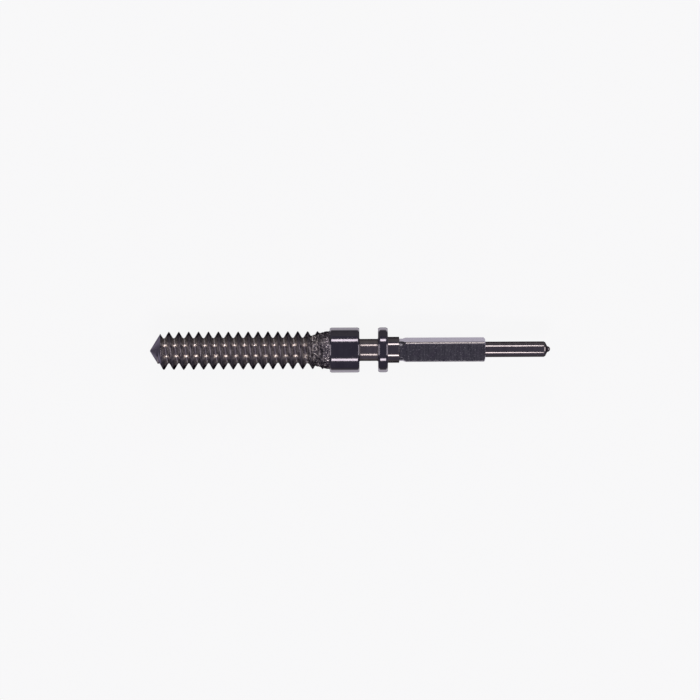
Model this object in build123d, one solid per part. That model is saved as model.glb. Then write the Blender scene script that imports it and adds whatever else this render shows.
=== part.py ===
from build123d import *
from math import ceil, cos, radians, sin, tan
import os

os.makedirs("parts", exist_ok=True)

# A winding stem turned from one steel rod, given as the sections between its shoulders.
# It lies along X with its pilot toward plus X. Lengths are in mm and angles in degrees.
# X is zero at the collar's inner shoulder, where the setting lever's groove begins.

half_share = 0.5

# crown thread, right-handed, a little under its nominal 0.90 mm
thread_pitch = 0.225
thread_radius = 0.4375
flank_angle = 30.0
crest_half_share = 0.0625
root_half_share = 0.04
thread_length = 4.1
cutter_overrun_share = 0.6
cutter_lead = 0.051

# cone turned on the free end of the thread
point_angle = 58.0
point_nose_radius = 0.045
point_base_share = 0.94

# where the die stops short of the collar: the rod narrows a little and the groove fades out
runout_length = 0.48
runout_gap = 0.07
rod_radius = 0.427
runout_start_share = 0.8
collar_root_fillet = 0.034

# collar that turns in the movement's plate
collar_radius = 0.51
collar_length = 0.67
collar_chamfer_length = 0.035
collar_chamfer_height = 0.018

# groove for the setting lever
groove_width = 0.425
neck_radius = 0.25
neck_fillet = 0.025

# flange that closes the groove
flange_thickness = 0.218
flange_chamfer_length = 0.042
flange_chamfer_height = 0.022

# round seat of the winding pinion
hub_radius = 0.295
hub_length = 0.26
hub_edge = 0.008

# square that drives the clutch wheel, with a round relief beside the hub and a turned end
square_width = 0.46
square_length = 1.95
square_edge_rounding = 0.025
relief_radius = 0.26
relief_length = 0.075
relief_angle = 35.5
square_end_angle = 71.5

# pilot that turns in the centre of the plate
pilot_radius = 0.176
pilot_length = 1.354
pilot_cone_length = 0.057
nib_radius = 0.065

# positions of the shoulders along the stem
collar_start = -collar_length
point_tip = collar_start - thread_length
flange_start = groove_width
hub_start = flange_start + flange_thickness
square_start = hub_start + hub_length
pilot_start = square_start + square_length
pilot_cone_start = pilot_start + pilot_length
nib_start = pilot_cone_start + pilot_cone_length
pilot_end = nib_start + nib_radius

# thread form, and the cutter that is carried on a little past the crest
flank_slope = tan(radians(flank_angle))
crest_half_width = thread_pitch * crest_half_share
root_half_width = thread_pitch * root_half_share
flank_width = thread_pitch * half_share - crest_half_width - root_half_width
root_radius = thread_radius - flank_width / flank_slope
cutter_radius = thread_radius + cutter_overrun_share * crest_half_width / flank_slope
cutter_half_width = root_half_width + (cutter_radius - root_radius) * flank_slope

# the cone hands over to the thread just below the root
point_slope = tan(radians(point_angle))
point_base_radius = root_radius * point_base_share
thread_start = point_tip + point_base_radius / point_slope

# the rod narrows from the run-out's start to the fillet, and the groove's floor climbs to meet it
runout_end = collar_start - runout_gap
runout_start = runout_end - runout_length
fillet_start = collar_start - collar_root_fillet
rod_slope = (rod_radius - thread_radius) / (fillet_start - runout_start)
runout_end_radius = thread_radius + rod_slope * runout_length
floor_slope = (runout_end_radius - root_radius) / runout_length


def turned(*edges):
    """Solid of revolution about the stem's axis from a closed outline."""
    return revolve(make_face(Curve() + list(edges)), axis=Axis.X)


def turned_from_points(*points):
    """Solid of revolution whose outline has straight sides only."""
    return turned(Polyline(*points, close=True))


def shank_point():
    """Blunt-nosed cone that leads the stem into the crown."""
    nose_centre = point_tip + point_nose_radius / sin(radians(point_angle))
    nose_front = (nose_centre - point_nose_radius, 0)
    nose_rim = (
        nose_centre - point_nose_radius * sin(radians(point_angle)),
        point_nose_radius * cos(radians(point_angle)),
    )
    return turned(
        RadiusArc(nose_front, nose_rim, point_nose_radius),
        Polyline(nose_rim, (thread_start, point_base_radius), (thread_start, 0), nose_front),
    )


def threading_blank():
    """Rod before the thread is cut: cone start, full size, then the narrower end at the collar."""
    cone_end = point_tip + thread_radius / point_slope
    rod_end = (fillet_start, rod_radius)
    fillet_rim = (collar_start, rod_radius + collar_root_fillet)
    return turned(
        Polyline(
            (collar_start, 0),
            (thread_start, 0),
            (thread_start, point_base_radius),
            (cone_end, thread_radius),
            (runout_start, thread_radius),
            rod_end,
        ),
        RadiusArc(rod_end, fillet_rim, -collar_root_fillet),
        Line(fillet_rim, (collar_start, 0)),
    )


def uncut_core():
    """What the die leaves standing by the collar: a cone under the groove, then the full rod."""
    core_radius = root_radius * runout_start_share
    core_start = runout_start - (root_radius - core_radius) / floor_slope
    cone_end_radius = root_radius + (fillet_start - runout_start) * floor_slope
    return turned_from_points(
        (core_start, 0),
        (core_start, core_radius),
        (fillet_start, cone_end_radius),
        (fillet_start, collar_radius),
        (0, collar_radius),
        (0, 0),
    )


def groove_turn():
    """One turn of the V groove that the die cuts, with a narrow flat floor."""
    winding = Helix(thread_pitch, thread_pitch, root_radius)
    section = Plane.XZ * make_face(
        Polyline(
            (root_radius, -root_half_width),
            (cutter_radius, -cutter_half_width),
            (cutter_radius, cutter_half_width),
            (root_radius, root_half_width),
            close=True,
        )
    )
    along_stem = Plane(origin=(0, 0, 0), x_dir=Axis.Z.direction, z_dir=Axis.X.direction)
    return along_stem * sweep(section, path=winding, is_frenet=True)


def crown_thread():
    """Thread for the crown, from the cone's base to the collar."""
    groove_start = point_tip - cutter_lead
    turns = ceil((runout_end + cutter_half_width - groove_start) / thread_pitch)
    one_turn = groove_turn()
    groove = [Pos(groove_start + turn * thread_pitch, 0, 0) * one_turn for turn in range(turns)]
    core = uncut_core()
    return threading_blank() - [turn - core for turn in groove]


def plate_journal():
    """Collar with both edges broken."""
    edge_radius = collar_radius - collar_chamfer_height
    return turned_from_points(
        (collar_start, 0),
        (collar_start, edge_radius),
        (collar_start + collar_chamfer_length, collar_radius),
        (-collar_chamfer_length, collar_radius),
        (0, edge_radius),
        (0, 0),
    )


def lever_neck():
    """Floor of the setting lever's groove, with a small fillet at each wall."""
    fillet_rim_radius = neck_radius + neck_fillet
    floor_start = (neck_fillet, neck_radius)
    floor_end = (groove_width - neck_fillet, neck_radius)
    return turned(
        RadiusArc((0, fillet_rim_radius), floor_start, -neck_fillet),
        Line(floor_start, floor_end),
        RadiusArc(floor_end, (groove_width, fillet_rim_radius), -neck_fillet),
        Polyline((groove_width, fillet_rim_radius), (groove_width, 0), (0, 0), (0, fillet_rim_radius)),
    )


def lever_flange():
    """Thin disc that closes the groove, with both edges broken."""
    edge_radius = collar_radius - flange_chamfer_height
    return turned_from_points(
        (flange_start, 0),
        (flange_start, edge_radius),
        (flange_start + flange_chamfer_length, collar_radius),
        (hub_start - flange_chamfer_length, collar_radius),
        (hub_start, edge_radius),
        (hub_start, 0),
    )


def pinion_hub():
    """Round seat with its outer edge just broken."""
    return turned_from_points(
        (hub_start, 0),
        (hub_start, hub_radius),
        (square_start - hub_edge, hub_radius),
        (square_start, hub_radius - hub_edge),
        (square_start, 0),
    )


def clutch_square():
    """Square with rounded edges, turned down to a relief by the hub and faced at its end."""
    flat_radius = square_width * half_share
    blank_radius = square_width
    relief_slope = tan(radians(relief_angle))
    end_slope = tan(radians(square_end_angle))
    blank = turned_from_points(
        (square_start, 0),
        (square_start, relief_radius),
        (square_start + relief_length, relief_radius),
        (square_start + relief_length + (blank_radius - relief_radius) / relief_slope, blank_radius),
        (pilot_start - (blank_radius - flat_radius) / end_slope, blank_radius),
        (pilot_start, flat_radius),
        (pilot_start, 0),
    )
    middle = square_start + square_length * half_share
    bar = Pos(middle, 0, 0) * Box(square_length, square_width, square_width)
    bar = fillet(bar.edges().filter_by(Axis.X), square_edge_rounding)
    return blank & bar


def pilot_pivot():
    """Slender pilot that ends in a cone with a rounded nib."""
    nib_rim = (nib_start, nib_radius)
    return turned(
        Polyline(
            (pilot_end, 0),
            (pilot_start, 0),
            (pilot_start, pilot_radius),
            (pilot_cone_start, pilot_radius),
            nib_rim,
        ),
        RadiusArc(nib_rim, (pilot_end, 0), nib_radius),
    )


sections = {
    "shank_point": shank_point(),
    "crown_thread": crown_thread(),
    "plate_journal": plate_journal(),
    "lever_neck": lever_neck(),
    "lever_flange": lever_flange(),
    "pinion_hub": pinion_hub(),
    "clutch_square": clutch_square(),
    "pilot_pivot": pilot_pivot(),
}

for name, section in sections.items():
    export_step(section, f"parts/{name}.step")
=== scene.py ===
import bmesh
import bpy
from math import cos, hypot, pi, radians, sin, sqrt, tan
from mathutils import Euler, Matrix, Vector, noise


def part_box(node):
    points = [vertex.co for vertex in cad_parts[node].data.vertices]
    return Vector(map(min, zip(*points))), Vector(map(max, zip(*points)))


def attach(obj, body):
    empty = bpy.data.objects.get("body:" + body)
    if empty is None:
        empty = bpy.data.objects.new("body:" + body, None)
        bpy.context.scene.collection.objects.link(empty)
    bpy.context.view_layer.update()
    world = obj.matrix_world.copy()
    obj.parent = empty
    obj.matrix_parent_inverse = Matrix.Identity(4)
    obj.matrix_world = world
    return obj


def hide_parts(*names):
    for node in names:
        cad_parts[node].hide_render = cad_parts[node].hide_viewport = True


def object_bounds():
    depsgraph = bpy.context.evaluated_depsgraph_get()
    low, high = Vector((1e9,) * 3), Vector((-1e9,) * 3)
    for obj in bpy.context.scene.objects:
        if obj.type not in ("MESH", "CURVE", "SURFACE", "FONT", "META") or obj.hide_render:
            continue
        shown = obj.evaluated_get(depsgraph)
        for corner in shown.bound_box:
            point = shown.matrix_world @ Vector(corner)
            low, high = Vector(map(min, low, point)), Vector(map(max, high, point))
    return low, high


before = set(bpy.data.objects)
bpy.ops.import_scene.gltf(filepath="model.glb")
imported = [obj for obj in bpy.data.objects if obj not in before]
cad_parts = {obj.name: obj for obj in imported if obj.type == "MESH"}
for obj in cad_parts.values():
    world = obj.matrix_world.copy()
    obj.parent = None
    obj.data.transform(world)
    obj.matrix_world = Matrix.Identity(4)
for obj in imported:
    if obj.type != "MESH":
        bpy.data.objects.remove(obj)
cad_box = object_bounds()

# A watch's winding stem of bare steel, which lies along X with its pilot toward plus X.
# Each section between its shoulders is a mesh that stands for one solid of the frame.

MM = 0.001
TURN = 2 * pi

# The sections' places and main radii come from the solids.

thread_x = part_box("crown_thread")[0][0]
collar_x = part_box("plate_journal")[0][0]
neck_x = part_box("lever_neck")[0][0]
flange_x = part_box("lever_flange")[0][0]
hub_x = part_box("pinion_hub")[0][0]
square_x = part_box("clutch_square")[0][0]
pilot_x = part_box("pilot_pivot")[0][0]
end_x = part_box("pilot_pivot")[1][0]

collar_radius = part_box("plate_journal")[1][1]
flange_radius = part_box("lever_flange")[1][1]
hub_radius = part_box("pinion_hub")[1][1]
square_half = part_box("clutch_square")[1][1]
pilot_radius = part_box("pilot_pivot")[1][1]

# Thread, with one crest at crest_x where the turn about the axis is crest_turn. The crests
# are a little lower than thread_radius, and uneven.

thread_pitch = 0.225 * MM
thread_radius = 0.4375 * MM
crest_half_width = 0.006 * MM
root_radius = 0.283 * MM
flank_angle = radians(30)
crest_softness = 0.02 * MM
root_softness = 0.042 * MM
blank_softness = 0.006 * MM
crest_x = -0.949 * MM
crest_turn = radians(-15)
crest_worn = 0.004 * MM
crest_wave = 0.004 * MM
crest_tear = 0.003 * MM

# Cone on the free end, and the run-out, where the groove fades out between runout_x and
# runout_end_x, the rod narrows, and lumps and burrs are left.

point_angle = radians(58)
point_apex_x = -4.76 * MM
nose_radius = 0.045 * MM
runout_x = -1.22 * MM
runout_end_x = -0.74 * MM
runout_lumps = 0.026 * MM
lumps_end_share = 1.8
burrs_x = -1.3 * MM
burrs_full_x = -1.1 * MM
rod_radius = 0.427 * MM
rod_fillet = 0.034 * MM

# Chamfers, fillets and rounded edges of the other sections.

collar_chamfer_length = 0.035 * MM
collar_chamfer_height = 0.018 * MM
flange_chamfer_length = 0.042 * MM
flange_chamfer_height = 0.022 * MM
neck_radius = 0.25 * MM
neck_fillet = 0.025 * MM
hub_edge = 0.008 * MM
square_rounding = 0.027 * MM
worn_rounding = 0.05 * MM
relief_radius = 0.26 * MM
relief_length = 0.075 * MM
relief_angle = radians(35.5)
square_end_angle = radians(71.5)
pilot_cone_length = 0.057 * MM
pilot_facet_before = 0.022 * MM
pilot_facet_past = 0.01 * MM
nib_radius = 0.065 * MM
corner_softness = 0.006 * MM
edge_softness = 0.004 * MM

# How finely the meshes are divided, how far the square's close rings reach past its turned
# ramp and end, and how near vertices lie that are joined.

lathe_sides = 160
arc_steps = 8
nib_steps = 10
corner_steps = 4
corner_reach = 0.4
face_ring = 0.5
axis_gap = radians(2)
thread_sides = 200
thread_steps = 28
square_sides = 720
ramp_steps = 28
ramp_reach = 1.12
end_steps = 16
end_reach = 1.2
weld = 0.00002 * MM
thread_weld = 0.00005 * MM
rim_reach = 0.0002 * MM
sharp_angle = radians(40)

# Which way a face has to point to take the second material of its piece: on the thread the
# faces of the cone, and on the square those of the worn edge.

cone_facing = 0.6
edge_facing = 0.06
along_facing = 0.1


def smooth_min(a, b, width):
    """The smaller of two lengths, blended where they are nearly equal."""
    near = max(width - abs(a - b), 0.0)
    return min(a, b) - near * near / (4 * width)


def smooth_max(a, b, width):
    """The larger of two lengths, blended where they are nearly equal."""
    return -smooth_min(-a, -b, width)


def finish_piece(name, bm, node, material):
    """Turns a bmesh into a smooth piece that stands for a solid of the frame."""
    bmesh.ops.remove_doubles(bm, verts=bm.verts, dist=weld)
    bmesh.ops.dissolve_degenerate(bm, edges=bm.edges, dist=weld)
    bmesh.ops.recalc_face_normals(bm, faces=bm.faces)
    mesh = bpy.data.meshes.new(name)
    bm.to_mesh(mesh)
    bm.free()
    for face in mesh.polygons:
        face.use_smooth = True
    mesh.set_sharp_from_angle(angle=sharp_angle)
    mesh.materials.append(material)
    piece = bpy.data.objects.new(name, mesh)
    bpy.context.scene.collection.objects.link(piece)
    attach(piece, "root")
    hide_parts(node)
    return piece


def skin(bm, rings):
    """Joins neighbouring closed rings of vertices with quads and caps both ends."""
    for low, high in zip(rings, rings[1:]):
        for i in range(len(low)):
            j = (i + 1) % len(low)
            bm.faces.new((low[i], low[j], high[j], high[i]))
    for ring in (rings[0], rings[-1]):
        middle = bm.verts.new((ring[0].co.x, 0, 0))
        for i in range(len(ring)):
            bm.faces.new((ring[i], ring[(i + 1) % len(ring)], middle))


def turns_of(sides):
    """Angles of the vertices of one closed ring."""
    return [TURN * i / sides for i in range(sides)]


def ring_of(bm, x, radii, turns):
    """One closed ring of vertices at x."""
    return [bm.verts.new((x, r * cos(t), r * sin(t))) for r, t in zip(radii, turns)]


def arc(centre_x, centre_r, radius, start, end, steps=arc_steps):
    """Points of a round edge or fillet in the plane of the outline."""
    points = []
    for i in range(steps + 1):
        angle = start + (end - start) * i / steps
        points.append((centre_x + radius * cos(angle), centre_r + radius * sin(angle)))
    return points


def lathe(name, outline, node, material):
    """Piece turned from an outline of (x, radius) points."""
    bm = bmesh.new()
    turns = turns_of(lathe_sides)
    rings = [ring_of(bm, x, [r] * lathe_sides, turns) for x, r in outline]
    skin(bm, rings)
    return finish_piece(name, bm, node, material)


def broken(outline, softness):
    """The outline with each corner replaced by a short curve, so that it catches light."""
    points = [outline[0]]
    for before, corner, after in zip(outline, outline[1:], outline[2:]):
        legs = []
        for other in (before, after):
            length = hypot(other[0] - corner[0], other[1] - corner[1])
            share = min(softness, length * corner_reach) / length
            legs.append(tuple(c + (o - c) * share for c, o in zip(corner, other)))
        for i in range(corner_steps + 1):
            s = i / corner_steps
            points.append(tuple(
                (1 - s) ** 2 * a + 2 * s * (1 - s) * c + s * s * b
                for a, c, b in zip(legs[0], corner, legs[1])
            ))
    points.append(outline[-1])
    return points


def disc_outline(low_x, high_x, radius, chamfer_length, chamfer_height):
    """Outline of a short round section whose two outer edges are chamfered."""
    return broken([
        (low_x, radius * face_ring),
        (low_x, radius - chamfer_height),
        (low_x + chamfer_length, radius),
        (high_x - chamfer_length, radius),
        (high_x, radius - chamfer_height),
        (high_x, radius * face_ring),
    ], corner_softness)


def blank_radius(x):
    """Radius of the rod before threading: cone start, full size, taper, fillet at the collar."""
    fillet_x = collar_x - rod_fillet
    cone = (x - point_apex_x) * tan(point_angle)
    if x <= runout_x:
        return min(thread_radius, cone)
    if x <= fillet_x:
        share = (x - runout_x) / (fillet_x - runout_x)
        return thread_radius + (rod_radius - thread_radius) * share
    along = min(x - fillet_x, rod_fillet)
    return rod_radius + rod_fillet - sqrt(rod_fillet ** 2 - along ** 2)


def torn_metal(x, turn, along, around):
    """Smooth noise over the stem's surface, finer along it and around it for larger numbers."""
    return noise.noise(Vector((x / MM * along, cos(turn) * around, sin(turn) * around)))


def thread_surface(x, turn):
    """Radius of the thread's surface, with its torn crests and rough run-out."""
    phase = (x - crest_x) / thread_pitch - (turn - crest_turn) / TURN
    off = abs(phase - round(phase)) * thread_pitch
    wave = crest_wave * torn_metal(x, turn, along=9, around=2.6)
    tear = crest_tear * torn_metal(x, turn, along=31, around=9)
    crest = thread_radius - (crest_worn + wave + tear)
    flank = crest + (crest_half_width - off) / tan(flank_angle)
    cut = smooth_max(smooth_min(crest, flank, crest_softness), root_radius, root_softness)
    if x > runout_x:
        climb = (x - runout_x) / (runout_end_x - runout_x)
        lump = runout_lumps * torn_metal(x, turn, along=24, around=9)
        rough = lump * max(0.0, min(1.0, lumps_end_share - climb))
        floor = root_radius + (rod_radius - root_radius) * climb + rough
        cut = smooth_max(cut, floor, crest_softness)
    return smooth_min(cut, blank_radius(x), blank_softness)


def thread_piece(material, cone_material):
    """Thread whose mesh lines follow the helix, trimmed square at both ends."""
    step = thread_pitch / thread_steps
    spare = thread_steps + 2
    first = int((thread_x - crest_x) / step) - spare
    last = int((collar_x - crest_x) / step) + spare
    bm = bmesh.new()
    grid = []
    for j in range(first, last + 1):
        row = []
        for i in range(thread_sides + 1):
            turn = TURN * i / thread_sides
            x = crest_x + j * step + thread_pitch * (turn - crest_turn) / TURN
            x = min(max(x, thread_x), collar_x)
            r = thread_surface(x, turn % TURN)
            row.append(bm.verts.new((x, r * cos(turn), r * sin(turn))))
        grid.append(row)
    for low, high in zip(grid, grid[1:]):
        for i in range(thread_sides):
            quad = (low[i], low[i + 1], high[i + 1], high[i])
            if max(v.co.x for v in quad) > thread_x and min(v.co.x for v in quad) < collar_x:
                bm.faces.new(quad)
    bmesh.ops.delete(bm, geom=[v for v in bm.verts if not v.link_faces], context="VERTS")
    bmesh.ops.remove_doubles(bm, verts=bm.verts, dist=thread_weld)
    for x in (thread_x, collar_x):
        rim = [
            edge for edge in bm.edges
            if edge.is_boundary and all(abs(v.co.x - x) < rim_reach for v in edge.verts)
        ]
        middle = bm.verts.new((x, 0, 0))
        for edge in rim:
            bm.faces.new((edge.verts[0], edge.verts[1], middle))
    piece = finish_piece("thread_steel", bm, "crown_thread", material)
    piece.data.materials.append(cone_material)
    cone_end_x = point_apex_x + thread_radius / tan(point_angle)
    for face in piece.data.polygons:
        if face.center.x < cone_end_x and face.normal.x < -cone_facing:
            face.material_index = 1
    return piece


def square_section(turn):
    """Distance from the axis to the rounded square at an angle, with one edge worn rounder."""
    quarter = TURN / 4
    rounding = worn_rounding if 0 < turn < quarter else square_rounding
    off = abs((turn + quarter / 2) % quarter - quarter / 2)
    if square_half * tan(off) <= square_half - rounding:
        return square_half / cos(off)
    middle = (square_half - rounding) * sqrt(2)
    aside = quarter / 2 - off
    return middle * cos(aside) + sqrt(rounding ** 2 - (middle * sin(aside)) ** 2)


def square_piece(material, edge_material):
    """Square with its relief beside the hub, its turned end and one smooth worn edge."""
    sharp_edge_radius = square_section(TURN * 3 / 8)
    ramp_length = (sharp_edge_radius - relief_radius) / tan(relief_angle) * ramp_reach
    end_length = (sharp_edge_radius - square_half) / tan(square_end_angle) * end_reach
    ramp_x = square_x + relief_length
    stations = [square_x, square_x + relief_length / 2, ramp_x]
    stations += [ramp_x + ramp_length * (i + 1) / ramp_steps for i in range(ramp_steps)]
    stations += [pilot_x - end_length * (1 - i / end_steps) for i in range(end_steps + 1)]
    turns = turns_of(square_sides)
    section = [square_section(t) for t in turns]
    bm = bmesh.new()
    rings = []
    for x in stations:
        ramp = relief_radius + max(x - ramp_x, 0.0) * tan(relief_angle)
        end = square_half + (pilot_x - x) * tan(square_end_angle)
        turned = min(smooth_max(relief_radius, ramp, edge_softness), end)
        radii = [smooth_min(s, turned, edge_softness) for s in section]
        rings.append(ring_of(bm, x, radii, turns))
    skin(bm, rings)
    piece = finish_piece("square_steel", bm, "clutch_square", material)
    piece.data.materials.append(edge_material)
    for face in piece.data.polygons:
        slant = min(face.normal.y, face.normal.z)
        sideways = abs(face.normal.x) < along_facing
        if slant > edge_facing and sideways and face.center.x > ramp_x:
            face.material_index = 1
    return piece


def rgb(red, green, blue):
    """Opaque colour."""
    return (red, green, blue, 1.0)


# Depths of the marks in each kind of steel, and the slants between which its gloss rises.

turned_depth = 0.00012 * MM
torn_depth = 0.0035 * MM
ground_depth = 0.0014 * MM
even_blend = 0.5
grazing_start = 0.46
grazing_full = 0.70
quarter_turn = 0.25

# Colours that more than one look takes.

white = rgb(1.0, 1.0, 1.0)
speck_dark = rgb(0.13, 0.12, 0.12)
pale_edge = rgb(1.0, 0.96, 1.0)
dark_rim = rgb(0.2, 0.19, 0.22)


class Nodes:
    """Small helper that adds and joins the nodes of a material or of the world."""

    def __init__(self, owner):
        owner.use_nodes = True
        self.owner = owner
        self.tree = owner.node_tree
        self.tree.nodes.clear()

    def add(self, kind, **values):
        node = self.tree.nodes.new(kind)
        for key, value in values.items():
            setattr(node, key, value)
        return node

    def link(self, source, target):
        self.tree.links.new(source, target)

    def set(self, socket, value):
        if isinstance(value, bpy.types.NodeSocket):
            self.link(value, socket)
        else:
            socket.default_value = value

    def math(self, operation, a, b, clamp=False):
        node = self.add("ShaderNodeMath", operation=operation, use_clamp=clamp)
        self.set(node.inputs[0], a)
        self.set(node.inputs[1], b)
        return node.outputs[0]

    def plus(self, a, b):
        return self.math("ADD", a, b)

    def minus(self, a, b):
        return self.math("SUBTRACT", a, b)

    def times(self, a, b):
        return self.math("MULTIPLY", a, b)

    def ramp(self, value, low, high, start=0.0, end=1.0, kind="LINEAR"):
        """Goes from start, where the value is low, to end, where it is high."""
        node = self.add("ShaderNodeMapRange", clamp=True, interpolation_type=kind)
        for socket, number in zip(node.inputs, (value, low, high, start, end)):
            self.set(socket, number)
        return node.outputs[0]

    def mix(self, share, a, b):
        node = self.add("ShaderNodeMix", data_type="RGBA")
        self.set(node.inputs[0], share)
        self.set(node.inputs[6], a)
        self.set(node.inputs[7], b)
        return node.outputs[2]

    def place(self, stretch):
        """Object coordinates in millimetres, stretched along X, Y and Z."""
        where = self.add("ShaderNodeTexCoord").outputs["Object"]
        node = self.add("ShaderNodeMapping")
        node.inputs["Scale"].default_value = tuple(s / MM for s in stretch)
        self.link(where, node.inputs["Vector"])
        return node.outputs[0]

    def noise(self, stretch, detail=2.0, roughness=0.5):
        """Noise with about so many spots per millimetre along X, Y and Z."""
        where = self.place(stretch)
        node = self.add("ShaderNodeTexNoise")
        self.set(node.inputs["Vector"], where)
        node.inputs["Scale"].default_value = 1.0
        node.inputs["Detail"].default_value = detail
        node.inputs["Roughness"].default_value = roughness
        return node.outputs[0]

    def split(self):
        """X, Y and Z of the place, in millimetres."""
        node = self.add("ShaderNodeSeparateXYZ")
        self.link(self.place((1, 1, 1)), node.inputs[0])
        return node.outputs

    def along(self):
        """Place along the stem, in millimetres."""
        return self.split()[0]

    def radius(self):
        """Distance from the stem's axis, in millimetres."""
        parts = self.split()
        squares = [self.math("POWER", parts[i], 2.0) for i in (1, 2)]
        return self.math("POWER", self.plus(*squares), 0.5)

    def steel(self, colour, roughness, height, depth, rim, spread, grazing=None):
        """Bare steel, whose marks round the stem spread its gloss along the stem.

        The gloss rises to the grazing colour where the steel is seen edge on.
        """
        if grazing:
            slant = self.add("ShaderNodeLayerWeight")
            slant.inputs["Blend"].default_value = even_blend
            facing = slant.outputs["Facing"]
            share = self.ramp(facing, grazing_start, grazing_full, kind="SMOOTHSTEP")
            colour = self.mix(share, colour, grazing)
        shader = self.add("ShaderNodeBsdfPrincipled")
        shader.inputs["Metallic"].default_value = 1.0
        shader.inputs["Specular Tint"].default_value = rim
        shader.inputs["Anisotropic"].default_value = spread
        shader.inputs["Anisotropic Rotation"].default_value = quarter_turn
        marks = self.add("ShaderNodeTangent", direction_type="RADIAL", axis="X")
        self.link(marks.outputs[0], shader.inputs["Tangent"])
        self.set(shader.inputs["Base Color"], colour)
        self.set(shader.inputs["Roughness"], roughness)
        bump = self.add("ShaderNodeBump")
        bump.inputs["Distance"].default_value = depth
        bump.inputs["Strength"].default_value = 1.0
        self.link(height, bump.inputs["Height"])
        self.link(bump.outputs[0], shader.inputs["Normal"])
        out = self.add("ShaderNodeOutputMaterial")
        self.link(shader.outputs[0], out.inputs["Surface"])
        return self.owner

    def shown(self, seen, mirrored):
        """Share of plain white: one for what the camera sees, one for what steel mirrors."""
        path = self.add("ShaderNodeLightPath").outputs
        glossy, clear = path["Is Glossy Ray"], path["Is Transmission Ray"]
        bounced = self.math("ADD", glossy, clear, clamp=True)
        direct = self.times(path["Is Camera Ray"], seen)
        return self.math("ADD", direct, self.times(bounced, mirrored), clamp=True)


def turned_steel(name, dark, light, smooth, rim, spread, grazing=None):
    """Hardened steel turned and polished: lines round the stem, faint stains and specks."""
    n = Nodes(bpy.data.materials.new(name))
    lines = n.noise((60, 1.2, 1.2), detail=3.0, roughness=0.6)
    broad = n.noise((9, 2, 2))
    specks = n.noise((38, 38, 38))
    colour = n.mix(n.ramp(broad, 0.35, 0.7), dark, light)
    colour = n.mix(n.ramp(specks, 0.66, 0.74, 0.0, 0.6), colour, speck_dark)
    grain = n.ramp(lines, 0.3, 0.7, smooth, smooth + 0.07)
    rough = n.plus(grain, n.ramp(specks, 0.6, 0.75, 0.0, 0.12))
    height = n.plus(n.times(lines, 0.6), n.times(specks, 0.2))
    return n.steel(colour, rough, height, turned_depth, rim, spread, grazing)


def threaded_steel(name):
    """Die-cut steel: torn brown-grey flanks, painted cool shade toward the crests, painted
    bounced light in the roots, rough run-out.
    """
    dark, light = rgb(0.09, 0.078, 0.073), rgb(0.17, 0.148, 0.14)
    # The second colour on the next line is painted shade: a cooler, darker tone for the upper
    # flanks that stands for the dim surroundings they mirror.
    cool_patch, painted_cool_shade = rgb(0.11, 0.10, 0.115), rgb(0.066, 0.060, 0.076)
    # The first colour on the next line is painted light: a brighter root that stands in for
    # light bounced between the flanks.
    painted_bounce_root, rim = rgb(0.43, 0.392, 0.37), rgb(0.06, 0.055, 0.09)
    gap_dark, fleck_light = rgb(0.04, 0.036, 0.04), rgb(0.42, 0.385, 0.37)

    n = Nodes(bpy.data.materials.new(name))
    height = n.ramp(n.radius(), root_radius / MM, thread_radius / MM)
    root = n.ramp(height, 0.04, 0.18, 1.0, 0.0)
    painted_bounce_depth = n.ramp(height, 0.55, 0.2)
    painted_shade_height = n.ramp(height, 0.35, 0.75)
    crest = n.ramp(height, 0.84, 0.92)
    runout = n.ramp(n.along(), burrs_x / MM, burrs_full_x / MM)
    torn = n.noise((26, 26, 26), detail=3.0, roughness=0.6)
    flakes = n.noise((70, 18, 18), roughness=0.6)
    patch = n.noise((7, 7, 7))
    burrs = n.noise((17, 17, 17), detail=3.0, roughness=0.6)
    colour = n.mix(n.ramp(torn, 0.35, 0.65), dark, light)
    colour = n.mix(n.ramp(patch, 0.5, 0.72, 0.0, 0.4), colour, cool_patch)
    # Painted shade: the flanks turn cooler and darker toward the crests.
    colour = n.mix(n.times(painted_shade_height, 0.55), colour, painted_cool_shade)
    # Painted bounced light: the lower flanks and roots are painted brighter, for light bounced
    # between the flanks.
    colour = n.mix(n.times(painted_bounce_depth, 0.85), colour, painted_bounce_root)
    gap = n.times(n.ramp(burrs, 0.49, 0.43), runout)
    fleck = n.times(n.ramp(burrs, 0.58, 0.66), runout)
    colour = n.mix(gap, colour, gap_dark)
    colour = n.mix(fleck, colour, fleck_light)
    rough = n.ramp(torn, 0.3, 0.7, 0.33, 0.43)
    rough = n.minus(rough, n.times(painted_bounce_depth, 0.13))
    rough = n.minus(rough, n.times(crest, 0.2))
    bumps = n.plus(torn, n.times(flakes, 0.5))
    bumps = n.times(bumps, n.minus(1.0, n.times(root, 0.7)))
    bumps = n.plus(bumps, n.times(n.times(burrs, runout), 6.0))
    return n.steel(colour, rough, bumps, torn_depth, rim, spread=1.0)


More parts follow.
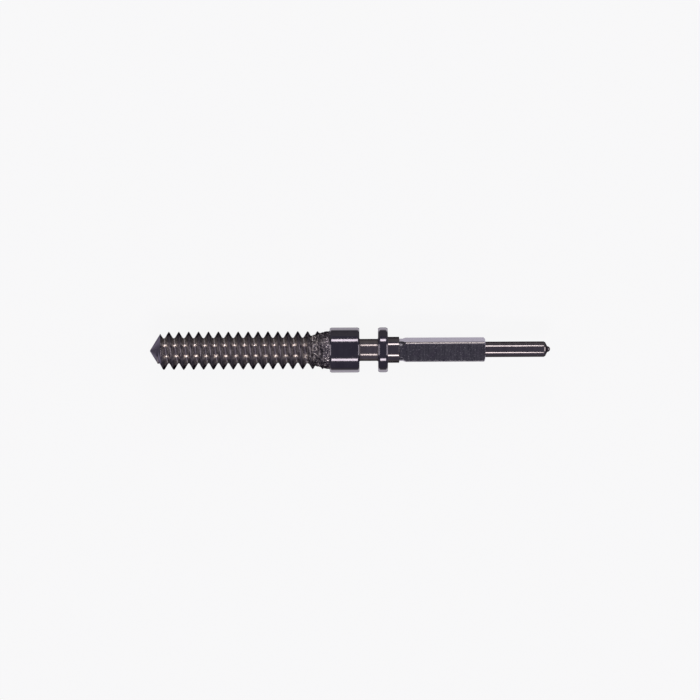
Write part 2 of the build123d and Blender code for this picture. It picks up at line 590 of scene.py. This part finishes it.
def ground_steel(name):
    """Milled and ground steel: fine lines across the flats, deeper scores, lighter edges."""
    dark, light = rgb(0.034, 0.033, 0.038), rgb(0.080, 0.078, 0.086)
    stain, pit_light = rgb(0.052, 0.046, 0.058), rgb(0.20, 0.19, 0.195)
    edge_light, rim = rgb(0.20, 0.19, 0.20), rgb(1.0, 0.97, 1.0)
    grazing = rgb(0.60, 0.57, 0.65)

    n = Nodes(bpy.data.materials.new(name))
    edge = n.ramp(n.radius(), 0.304, 0.311)
    lines = n.noise((85, 3, 3), detail=3.0, roughness=0.65)
    scores = n.noise((24, 1, 1))
    pits = n.noise((30, 26, 26), detail=3.0, roughness=0.7)
    patch = n.noise((5, 5, 5))
    colour = n.mix(n.ramp(lines, 0.3, 0.7), dark, light)
    colour = n.mix(n.ramp(patch, 0.45, 0.7, 0.0, 0.5), colour, stain)
    colour = n.mix(n.ramp(pits, 0.57, 0.68, 0.0, 0.9), colour, pit_light)
    colour = n.mix(n.times(edge, 0.1), colour, edge_light)
    rough = n.plus(n.ramp(lines, 0.3, 0.7, 0.28, 0.4), n.ramp(scores, 0.6, 0.75, 0.0, 0.1))
    rough = n.minus(rough, n.times(edge, 0.12))
    height = n.plus(lines, n.times(scores, 0.8))
    height = n.plus(height, n.times(pits, 0.8))
    return n.steel(colour, rough, height, ground_depth, rim, spread=0.8, grazing=grazing)


def pale_floor(name):
    """Matt pale sheet whose own colour fills in most of the shadow."""
    dark, light = rgb(0.29, 0.285, 0.305), rgb(0.32, 0.315, 0.335)
    n = Nodes(bpy.data.materials.new(name))
    paper = n.mix(n.noise((1.1, 1.1, 1.1), detail=3.0), dark, light)
    matt = n.add("ShaderNodeBsdfDiffuse")
    n.link(paper, matt.inputs["Color"])
    glow = n.add("ShaderNodeEmission")
    glow.inputs["Color"].default_value = white
    glow.inputs["Strength"].default_value = 1.0
    both = n.add("ShaderNodeMixShader")
    n.link(n.shown(seen=0.9, mirrored=0.45), both.inputs[0])
    n.link(matt.outputs[0], both.inputs[1])
    n.link(glow.outputs[0], both.inputs[2])
    out = n.add("ShaderNodeOutputMaterial")
    n.link(both.outputs[0], out.inputs["Surface"])
    return n.owner


def studio_walls(name):
    """Dim cool walls that steel mirrors, shown to the camera as a pale backdrop."""
    dim = rgb(0.31, 0.28, 0.49)
    n = Nodes(bpy.data.worlds.new(name))
    walls = n.add("ShaderNodeBackground")
    colour = n.mix(n.shown(seen=0.85, mirrored=0.25), dim, white)
    n.link(colour, walls.inputs["Color"])
    out = n.add("ShaderNodeOutputWorld")
    n.link(walls.outputs[0], out.inputs["Surface"])
    return n.owner


collar_look = turned_steel(
    "collar_look",
    dark=rgb(0.050, 0.046, 0.054),
    light=rgb(0.058, 0.054, 0.062),
    smooth=0.12,
    rim=rgb(0.31, 0.295, 0.33),
    spread=0.7,
    grazing=pale_edge,
)
seat_look = turned_steel(
    "seat_look",
    dark=rgb(0.080, 0.072, 0.074),
    light=rgb(0.096, 0.087, 0.088),
    smooth=0.09,
    rim=dark_rim,
    spread=0.3,
)
edge_look = turned_steel(
    "edge_look",
    dark=rgb(0.15, 0.14, 0.14),
    light=rgb(0.18, 0.168, 0.168),
    smooth=0.09,
    rim=dark_rim,
    spread=0.3,
)
neck_look = turned_steel(
    "neck_look",
    dark=rgb(0.105, 0.093, 0.092),
    light=rgb(0.132, 0.117, 0.115),
    smooth=0.27,
    rim=dark_rim,
    spread=0.9,
)
point_look = turned_steel(
    "point_look",
    dark=rgb(0.036, 0.033, 0.042),
    light=rgb(0.048, 0.044, 0.054),
    smooth=0.26,
    rim=dark_rim,
    spread=0.3,
    grazing=rgb(0.34, 0.315, 0.38),
)
threaded = threaded_steel("threaded_steel_look")
ground = ground_steel("ground_steel_look")

# The sections, from the free end to the pilot.

nose_x = point_apex_x + nose_radius / sin(point_angle)
point_outline = arc(nose_x, 0, nose_radius, pi - axis_gap, pi / 2 + point_angle)
point_outline += [(thread_x, (thread_x - point_apex_x) * tan(point_angle))]
lathe("point_steel", point_outline, "shank_point", point_look)

thread_piece(threaded, point_look)

collar_outline = disc_outline(
    collar_x, neck_x, collar_radius, collar_chamfer_length, collar_chamfer_height
)
lathe("collar_steel", collar_outline, "plate_journal", collar_look)

neck_rim = neck_radius + neck_fillet
neck_outline = arc(neck_x + neck_fillet, neck_rim, neck_fillet, pi, 1.5 * pi)
neck_outline += arc(flange_x - neck_fillet, neck_rim, neck_fillet, 1.5 * pi, TURN)
lathe("neck_steel", neck_outline, "lever_neck", neck_look)

flange_outline = disc_outline(
    flange_x, hub_x, flange_radius, flange_chamfer_length, flange_chamfer_height
)
lathe("flange_steel", flange_outline, "lever_flange", collar_look)

hub_outline = [(hub_x, hub_radius * face_ring)] + broken([
    (hub_x, hub_radius),
    (square_x - hub_edge, hub_radius),
    (square_x, hub_radius - hub_edge),
    (square_x, hub_radius * face_ring),
], edge_softness)
lathe("hub_steel", hub_outline, "pinion_hub", seat_look)

square_piece(ground, edge_look)

nib_x = end_x - nib_radius
cone_x = nib_x - pilot_cone_length
cone_slope = (pilot_radius - nib_radius) / pilot_cone_length
pilot_outline = broken([
    (pilot_x, pilot_radius),
    (cone_x - pilot_facet_before, pilot_radius),
    (cone_x + pilot_facet_past, pilot_radius - pilot_facet_past * cone_slope),
    (nib_x, nib_radius),
], corner_softness)[:-1]
pilot_outline += arc(nib_x, 0, nib_radius, pi / 2, axis_gap, nib_steps)
lathe("pilot_steel", pilot_outline, "pilot_pivot", seat_look)

# The floor that the stem lies on, and the walls around it.

floor_size = 400 * MM
floor_squares = 8
floor_mesh = bpy.data.meshes.new("floor")
bm = bmesh.new()
bmesh.ops.create_grid(bm, x_segments=floor_squares, y_segments=floor_squares, size=floor_size)
bm.to_mesh(floor_mesh)
bm.free()
floor = bpy.data.objects.new("floor", floor_mesh)
floor.location = (0, 0, cad_box[0][2])
bpy.context.scene.collection.objects.link(floor)
floor_mesh.materials.append(pale_floor("floor_look"))

bpy.context.scene.world = studio_walls("studio")

# The camera looks down on the stem, from a little toward plus Y.

camera_lean = radians(15)
camera_roll = radians(0.27)
aim = Vector((-0.213 * MM, 0, 0))
frame_width = 15.89 * MM
nearest_seen = 1 * MM
farthest_seen = 10
lens = 150.0
sensor = 36.0
camera_turn = Euler((-camera_lean, 0, 0)).to_matrix() @ Euler((0, 0, -camera_roll)).to_matrix()

camera_data = bpy.data.cameras.new("camera")
camera_data.lens = lens
camera_data.sensor_width = sensor
camera_data.clip_start = nearest_seen
camera_data.clip_end = farthest_seen
camera = bpy.data.objects.new("camera", camera_data)
camera.rotation_euler = camera_turn.to_euler()
camera.location = aim + camera_turn @ Vector((0, 0, frame_width * lens / sensor))
bpy.context.scene.collection.objects.link(camera)
bpy.context.scene.camera = camera

# Four lamps stand around the camera's axis: a strip on each side of the stem, and a wider
# lamp past each of its ends.

lamp_distance = 40 * MM
lamp_tint = (1.0, 0.95, 0.92)


def soft_box(name, around, away, size_around, size_out, radiance):
    """One lamp of the ring about the camera's axis, facing the stem."""
    round_ring = Euler((0, 0, radians(around))).to_matrix()
    off_axis = Euler((radians(away), 0, 0)).to_matrix()
    turn = camera_turn @ round_ring @ off_axis
    lamp = bpy.data.lights.new(name, "AREA")
    lamp.shape = "RECTANGLE"
    lamp.size = size_around
    lamp.size_y = size_out
    lamp.energy = radiance * pi * size_around * size_out
    lamp.color = lamp_tint
    body = bpy.data.objects.new(name, lamp)
    body.rotation_euler = turn.to_euler()
    body.location = aim + turn @ Vector((0, 0, lamp_distance))
    bpy.context.scene.collection.objects.link(body)


for around in (0, 180):
    soft_box(
        f"strip_{around}", around, away=51,
        size_around=19 * MM, size_out=8 * MM, radiance=17.0,
    )
for around in (90, 270):
    soft_box(
        f"side_{around}", around, away=65,
        size_around=30 * MM, size_out=16 * MM, radiance=5.0,
    )

bpy.context.scene.view_settings.view_transform = "Standard"
